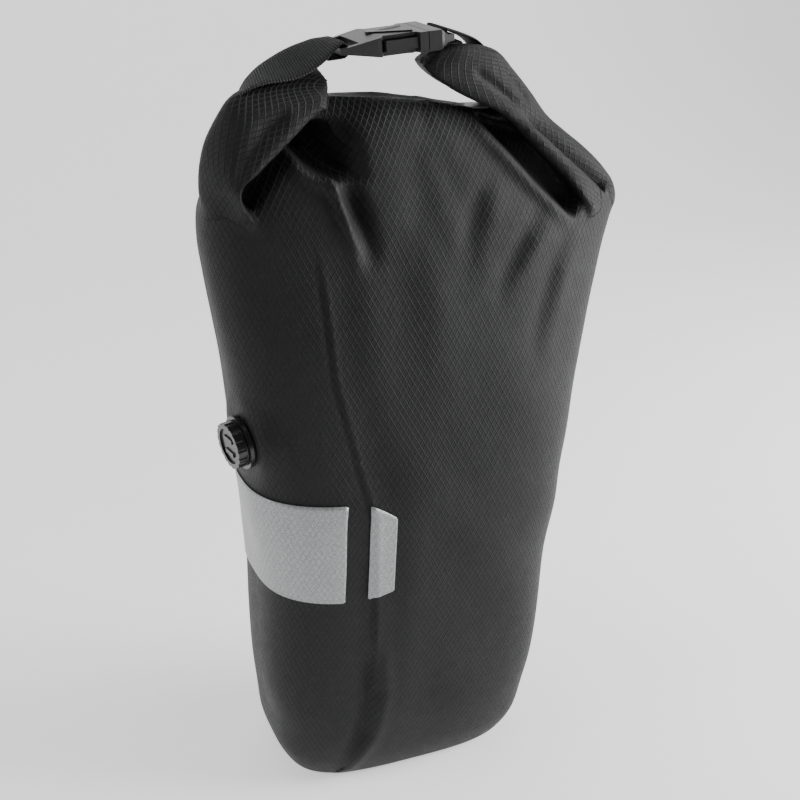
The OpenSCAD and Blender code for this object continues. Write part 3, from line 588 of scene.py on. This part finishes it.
class Graph:
    """A material's node tree, with short calls for the nodes that the materials share."""

    def __init__(self, name):
        self.material = bpy.data.materials.new(name)
        self.material.use_nodes = True
        self.tree = self.material.node_tree
        self.shader = self.tree.nodes["Principled BSDF"]

    def node(self, kind, **settings):
        made = self.tree.nodes.new(kind)
        for key, value in settings.items():
            setattr(made, key, value)
        return made

    def link(self, source, target):
        self.tree.links.new(source, target)

    def feed(self, socket, value):
        """Links a node's output to a socket, or sets it to a number or a colour."""
        if hasattr(value, "is_linked"):
            self.link(value, socket)
        else:
            socket.default_value = (*value, 1) if isinstance(value, tuple) else value

    def math(self, operation, a, b=0.0, c=0.0):
        made = self.node("ShaderNodeMath", operation=operation)
        for socket, value in zip(made.inputs, (a, b, c)):
            self.feed(socket, value)
        return made.outputs[0]

    def ramp(self, value, low, high):
        """0 up to low and 1 from high, with a smooth step between them."""
        made = self.node("ShaderNodeMapRange", interpolation_type="SMOOTHSTEP")
        for socket, given in zip(made.inputs[:5], (value, low, high, 0.0, 1.0)):
            self.feed(socket, given)
        return made.outputs[0]

    def mix(self, factor, a, b):
        made = self.node("ShaderNodeMix", data_type="RGBA")
        self.link(factor, made.inputs[0])
        for socket, value in zip(made.inputs[6:8], (a, b)):
            self.feed(socket, value)
        return made.outputs[2]

    def noise(self, scale, detail=2.0, source=None):
        made = self.node("ShaderNodeTexNoise")
        made.inputs["Scale"].default_value = scale
        made.inputs["Detail"].default_value = detail
        self.link(source or self.place(), made.inputs["Vector"])
        return made.outputs[0]

    def place(self):
        """Position on the object in metres."""
        return self.node("ShaderNodeTexCoord").outputs["Object"]

    def stretched(self, scale):
        """Position on the object, scaled along each axis."""
        made = self.node("ShaderNodeMapping")
        made.inputs["Scale"].default_value = scale
        self.link(self.place(), made.inputs["Vector"])
        return made.outputs[0]

    def wave(self, place, rate):
        return self.math("SINE", self.math("MULTIPLY", place, rate))

    def weave(self):
        """Place on the flat cloth in millimetres, along its two directions."""
        made = self.node("ShaderNodeAttribute", attribute_name="weave")
        split = self.node("ShaderNodeSeparateXYZ")
        self.link(made.outputs["Vector"], split.inputs[0])
        return split.outputs[0], split.outputs[1]

    def bump(self, height, distance, strength=1.0, normal=None):
        made = self.node("ShaderNodeBump")
        made.inputs["Distance"].default_value = distance
        made.inputs["Strength"].default_value = strength
        self.link(height, made.inputs["Height"])
        if normal is not None:
            self.link(normal, made.inputs["Normal"])
        return made.outputs[0]

    def finish(self, **values):
        """Sets the shader's sockets: a number or colour as it is, a node's output by a link."""
        for key, value in values.items():
            self.feed(self.shader.inputs[key.replace("_", " ")], value)
        return self.material


# Width and height of a ripstop diamond
DIAMOND = (3.4, 5.9)


def diamond_lines(g, u, v, low, high):
    """The ripstop grid: 1 on its thread lines and 0 between them."""
    lines = []
    for sign in ("ADD", "SUBTRACT"):
        phase = g.math(sign, g.math("DIVIDE", u, DIAMOND[0]), g.math("DIVIDE", v, DIAMOND[1]))
        near = g.math("ABSOLUTE", g.math("SUBTRACT", g.math("FRACT", phase), 0.5))
        lines.append(g.ramp(near, low, high))
    return g.math("MAXIMUM", *lines)


def fabric_material():
    """Coated ripstop: near-black cloth with a fine weave, a diamond grid of threads painted light where the
    cloth faces up and dark where it faces down (painted highlight and painted shade), and light scuffs."""
    g = Graph("coated_ripstop")
    u, v = g.weave()
    grid = diamond_lines(g, u, v, 0.38, 0.46)
    fine = g.math("MULTIPLY", g.wave(u, 11.5), g.wave(v, 11.5))
    blotch = g.noise(38, 4)
    speckle = g.noise(1500, 2)
    scuff = g.ramp(g.noise(420, 5), 0.52, 0.78)
    # Painted highlight and shade on the threads: the grid's colour runs from dark on downward-facing cloth
    # to light on upward-facing cloth.
    facing = g.node("ShaderNodeSeparateXYZ")
    g.link(g.node("ShaderNodeTexCoord").outputs["Normal"], facing.inputs[0])
    painted_light_from_above = g.ramp(facing.outputs[2], 0.15, 0.65)
    ground = g.mix(blotch, (0.0042, 0.0043, 0.0047), (0.0072, 0.0074, 0.0081))
    ground = g.mix(g.math("MULTIPLY", speckle, 0.5), ground, (0.016, 0.0163, 0.0172))
    thread = g.mix(painted_light_from_above, (0.0012, 0.0012, 0.0014), (0.042, 0.0425, 0.045))
    worn = g.mix(g.math("MULTIPLY", scuff, 0.25), ground, (0.028, 0.028, 0.0295))
    colour = g.mix(g.math("MULTIPLY", grid, 0.9), worn, thread)
    crumple = g.bump(g.noise(95, 3), 0.0009, 0.5)
    relief = g.bump(grid, 0.00028, 0.9, g.bump(fine, 0.00006, 0.6, crumple))
    rough = g.math("MULTIPLY_ADD", g.noise(160, 3), 0.16, 0.42)
    return g.finish(Base_Color=colour, Roughness=rough, Normal=relief, Specular_IOR_Level=0.22)


def webbing_material():
    """Woven webbing with ribs across it, coloured with painted shade in the ribs' valleys and a painted
    highlight on their crests.
    """
    g = Graph("ribbed_webbing")
    u, v = g.weave()
    height = g.math("ADD", g.wave(u, 4.49), g.math("MULTIPLY", g.wave(v, 5.6), 0.3))
    fuzz = g.noise(1100, 4)
    # Colour follows the ribs' height: painted shade in the valleys, painted highlight on the crests.
    colour = g.mix(g.ramp(height, -0.9, 1.1), (0.0025, 0.0025, 0.003), (0.045, 0.045, 0.048))
    rough = g.math("MULTIPLY_ADD", fuzz, 0.2, 0.6)
    relief = g.bump(fuzz, 0.0001, 0.5, g.bump(height, 0.0005, 1.0))
    return g.finish(Base_Color=colour, Roughness=rough, Normal=relief, Specular_IOR_Level=0.3)


def reflective_material():
    """Glass-bead film, with the cloth's grid pressed through it."""
    g = Graph("reflective_film")
    u, v = g.weave()
    grid = diamond_lines(g, u, v, 0.38, 0.47)
    beads = g.node("ShaderNodeTexVoronoi")
    beads.inputs["Scale"].default_value = 4200
    g.link(g.place(), beads.inputs["Vector"])
    sparkle = g.node("ShaderNodeSeparateColor")
    g.link(beads.outputs["Color"], sparkle.inputs[0])
    colour = g.mix(sparkle.outputs[0], (0.17, 0.173, 0.177), (0.46, 0.465, 0.475))
    colour = g.mix(g.math("MULTIPLY", grid, 0.4), colour, (0.16, 0.163, 0.167))
    relief = g.bump(grid, 0.00016, 0.6, g.bump(sparkle.outputs[1], 0.00006, 0.6))
    rough = g.math("MULTIPLY_ADD", sparkle.outputs[2], 0.25, 0.3)
    return g.finish(Base_Color=colour, Roughness=rough, Normal=relief, Metallic=0.35)


def plastic_material(name, dark, light, rough, grain, depth):
    """Moulded plastic with a fine grain and faint upright scratches in its gloss."""
    g = Graph(name)
    fine = g.noise(grain, 3)
    marks = g.ramp(g.noise(260, 2, g.stretched((1, 1, 14))), 0.58, 0.72)
    colour = g.mix(g.noise(60, 3), dark, light)
    rough = g.math("ADD", g.math("MULTIPLY_ADD", fine, 0.12, rough), g.math("MULTIPLY", marks, 0.06))
    return g.finish(Base_Color=colour, Roughness=rough, Normal=g.bump(fine, depth))


def metal_material(name, dark, light, rough, brush):
    """Metal with a brushed grain, drawn out along the axis with the smallest scale in brush."""
    g = Graph(name)
    grain = g.noise(700, 4, g.stretched(brush))
    colour = g.mix(g.noise(120, 3), dark, light)
    rough = g.math("MULTIPLY_ADD", grain, 0.2, rough)
    return g.finish(Base_Color=colour, Metallic=1.0, Roughness=rough, Normal=g.bump(grain, 0.00003, 0.6))


def rubber_material():
    g = Graph("rubber")
    fine = g.noise(1300, 4)
    colour = g.mix(g.noise(90, 3), (0.012, 0.012, 0.0125), (0.024, 0.024, 0.025))
    rough = g.math("MULTIPLY_ADD", fine, 0.12, 0.72)
    return g.finish(Base_Color=colour, Roughness=rough, Normal=g.bump(fine, 0.00008, 0.7))


NODE_MATERIALS = {
    "coated_fabric": fabric_material(),
    "webbing": webbing_material(),
    "reflective_film": reflective_material(),
    "black_plastic": plastic_material(
        "moulded_black", (0.005, 0.005, 0.0053), (0.009, 0.009, 0.0095), 0.3, 1900, 0.00003),
    "gloss_black_plastic": plastic_material(
        "satin_black", (0.008, 0.008, 0.0085), (0.013, 0.013, 0.0135), 0.2, 1500, 0.000012),
    "grey_plastic": plastic_material(
        "moulded_grey", (0.09, 0.092, 0.096), (0.12, 0.122, 0.127), 0.4, 1900, 0.00003),
    "rubber": rubber_material(),
    "anodised_alloy": metal_material(
        "anodised_alloy", (0.045, 0.046, 0.049), (0.06, 0.061, 0.065), 0.32, (0.06, 1, 1)),
    "steel": metal_material("zinc_steel", (0.5, 0.51, 0.52), (0.62, 0.63, 0.64), 0.26, (1, 1, 0.1)),
}


def dress(obj, slot, body, *nodes):
    """Gives a finished piece its material, the body that it rides and the CAD nodes that it replaces."""
    obj.data.materials.clear()
    obj.data.materials.append(NODE_MATERIALS[slot])
    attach(obj, body)
    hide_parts(*nodes)


for part in frame["record"]["subparts"]:
    node = frame["nodes"][part["node"]]
    node.data.materials.clear()
    node.data.materials.append(NODE_MATERIALS[part["material_slot"]])

# ---------------------------------------------------------------- soft pieces

shell = build_shell()
dress(shell, "coated_fabric", "bag", "bag_body", "base_panel", "ear_left", "ear_right", "rolled_mouth")

tree = shell_tree(shell)
side_patch = patch("side_patch", tree, (223.5, 138, 199), (161, 140, 200), 0.9, 70)
dress(side_patch, "reflective_film", "bag", "reflector_side")
front_patch = patch("front_patch", tree, (244.5, 142, 188.5), (232, 138, 198), 0.8, 16)
dress(front_patch, "reflective_film", "bag", "reflector_front")

# Buckle: its middle in the front view, its tilt, and the way that webbing takes round one of its bars
BUCKLE_X, BUCKLE_Z = -1, 434
BUCKLE_TILT = math.radians(6)
WRAP_RADIUS = 3.5
WRAP_TAIL = (7, -3.6)
STRAP_EDGES = (-6.3, 18.3)
STRAP_T = 1.6


def bar_wrap(x, side, y):
    """Webbing's way over the buckle's bar at local x and back under it."""
    local = [(x + side * WRAP_RADIUS * math.cos(a), WRAP_RADIUS * math.sin(a))
             for a in np.radians(np.linspace(90, -90, 9)).tolist()]
    local.append((x - side * WRAP_TAIL[0], WRAP_TAIL[1]))
    c, s = math.cos(BUCKLE_TILT), math.sin(BUCKLE_TILT)
    return [(BUCKLE_X + p * c - q * s, y, BUCKLE_Z + p * s + q * c) for p, q in local]


def strap(name, front, back, bar, side, count, replaced):
    """Webbing from an ear to the buckle's bar at local x, with each of its edges led along its own line."""
    edges = [line + bar_wrap(bar, side, y) for line, y in zip((front, back), STRAP_EDGES)]
    dress(ribbon(name, *edges, STRAP_T, count), "webbing", "bag", replaced)


strap("left_strap",
      [(-99, -8.4, 409.6), (-95, -9, 412), (-90, -9.6, 414), (-84, -10, 415.4), (-72, -10.2, 417),
       (-64, -9.8, 420), (-57, -8.5, 424), (-52, -6.8, 427.8)],
      [(-92, 15, 408.5), (-89, 16, 413), (-85, 16.6, 417), (-80, 17.2, 420.6), (-71, 18, 425.5),
       (-64, 18.5, 428.5), (-58, 18.5, 430.5), (-53, 18.5, 432)],
      -45.3, 1, 220, "strap_left")
RIGHT_LINE = [(52, 413), (44, 420.5), (35, 428), (27, 434)]
strap("right_strap", at_y(RIGHT_LINE, STRAP_EDGES[0]), at_y(RIGHT_LINE, STRAP_EDGES[1]), 13.3, -1, 160,
      "strap_right")

# Pull strap: the bow's half width, foot and rise, the bar in the link's eye, and the strap's edges
BOW = (36.2, 330.5, 16)
EYE = (36.45, 327)
EYE_WRAP = 2.9
TAIL = [(38.6, 330.5), (37.4, 334.5)]
PULL_EDGES = (57.2, 74.8)
PULL_T = 1.5


def pull_path(side):
    """Half of the pull strap: from its middle to the link's eye, round the bar and back up."""
    bow = [(BOW[0] * math.sin(math.radians(a)), BOW[1] + BOW[2] * math.cos(math.radians(a)))
           for a in range(0, 80, 10)]
    loop = [(EYE[0] - EYE_WRAP * math.cos(math.radians(a)), EYE[1] - EYE_WRAP * math.sin(math.radians(a)))
            for a in range(0, 181, 20)]
    return [(side * x, z) for x, z in bow + loop + TAIL]


pull_line = pull_path(-1)[::-1] + pull_path(1)[1:]
pull = ribbon("pull_handle", at_y(pull_line, PULL_EDGES[0]), at_y(pull_line, PULL_EDGES[1]), PULL_T, 260)
dress(pull, "webbing", "release", "pull_strap")

# Bolt springs: wire radius, active turns, and the gap left at each of their ends
WIRE = 0.35
TURNS = 6
SPRING_GAP = 0.03


def coil_spring(side):
    """Wound spring behind a latch bolt, with flat end turns. It shortens as the bolt is drawn back."""
    node = "bolt_spring_" + side
    low, high = (from_frame(corner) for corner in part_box(node))
    middle = (low + high) / 2
    reach = (high[2] - low[2]) / 2 - WIRE
    wound = np.linspace(0, TURNS + 2, TURNS * 36)
    climb = np.clip((wound - 1) / TURNS, 0, 1)
    start, end = low[1] + WIRE + SPRING_GAP, high[1] - WIRE - SPRING_GAP
    line = np.stack([middle[0] + reach * np.cos(2 * np.pi * wound), start + (end - start) * climb,
                     middle[2] + reach * np.sin(2 * np.pi * wound)], -1)
    outward = line - middle
    outward[:, 1] = 0
    outward /= lengths(outward)[:, None]
    sides = 10
    angle = np.linspace(0, 2 * np.pi, sides, endpoint=False)[None, :, None]
    verts = line[:, None] + WIRE * (np.cos(angle) * outward[:, None] + np.sin(angle) * np.array([0, 1, 0]))
    obj = mesh_object("coil_" + side, verts.reshape(-1, 3), grid_faces(len(wound), sides))
    dress(obj, "steel", "bag", node)
    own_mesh(obj)


coil_spring("left")
coil_spring("right")

# ---------------------------------------------------------------- stage, light and camera

def stage_material():
    g = Graph("pale_floor")
    tone = g.mix(g.noise(3, 2), (0.86, 0.86, 0.86), (0.88, 0.88, 0.88))
    return g.finish(Base_Color=tone, Roughness=0.9, Emission_Color=(1.0, 1.0, 1.0), Emission_Strength=0.66)


# Studio floor in metres: half its width, where its back bends up, the bend's radius and the wall's height
FLOOR_HALF = 3.0
BEND_Y = 0.9
BEND_R = 0.9
WALL_H = 3.5


def build_stage():
    across = np.linspace(-FLOOR_HALF, FLOOR_HALF, 9)
    bend = [(BEND_Y + BEND_R * math.sin(a), BEND_R - BEND_R * math.cos(a))
            for a in np.linspace(0.15, math.pi / 2, 9)]
    side = [(-FLOOR_HALF, 0.0), (BEND_Y, 0.0)] + bend + [(BEND_Y + BEND_R, WALL_H)]
    verts = [(x / MM, y / MM + TUBE[1], z / MM) for y, z in side for x in across]
    floor = mesh_object("studio_floor", verts, grid_faces(len(side), len(across), tube=False))
    floor.data.materials.append(stage_material())


def area_light(name, place, aim, size, power):
    """Square softbox that faces its aim."""
    data = bpy.data.lights.new(name, "AREA")
    data.shape = "RECTANGLE"
    data.size = data.size_y = size
    data.energy = power
    lamp = bpy.data.objects.new(name, data)
    lamp.location = place
    lamp.rotation_euler = (Vector(aim) - Vector(place)).to_track_quat("-Z", "Y").to_euler()
    bpy.context.collection.objects.link(lamp)


build_stage()
area_light("key", (1.25, -0.5, 0.3), (0, -0.05, -0.02), 0.8, 36)
area_light("fill", (-1.3, 0.0, 0.4), (0, -0.05, 0.0), 0.8, 9)
area_light("top", (-0.1, -0.2, 1.6), (0, -0.05, 0.0), 1.0, 4)

world = bpy.data.worlds.new("studio")
world.use_nodes = True
backdrop = world.node_tree.nodes["Background"]
backdrop.inputs["Color"].default_value = (1, 1, 1, 1)
backdrop.inputs["Strength"].default_value = 0.12
bpy.context.scene.world = world

# The photograph's viewpoint: the camera's turn round the bag, its height angle and its roll
turn, lift, roll = (math.radians(a) for a in (24.507, 24.006, 2.761))
back = Vector((-math.sin(turn) * math.cos(lift), -math.cos(turn) * math.cos(lift), math.sin(lift)))
right = Vector((math.cos(turn), -math.sin(turn), 0))
up = back.cross(right)
right, up = right * math.cos(roll) + up * math.sin(roll), up * math.cos(roll) - right * math.sin(roll)
lens = bpy.data.cameras.new("camera")
lens.lens = 54
lens.sensor_width = 36
camera = bpy.data.objects.new("camera", lens)
camera.matrix_world = Matrix((right, up, back)).transposed().to_4x4()
camera.location = (-0.2650, -0.6515, 0.2240)
bpy.context.collection.objects.link(camera)
bpy.context.scene.camera = camera
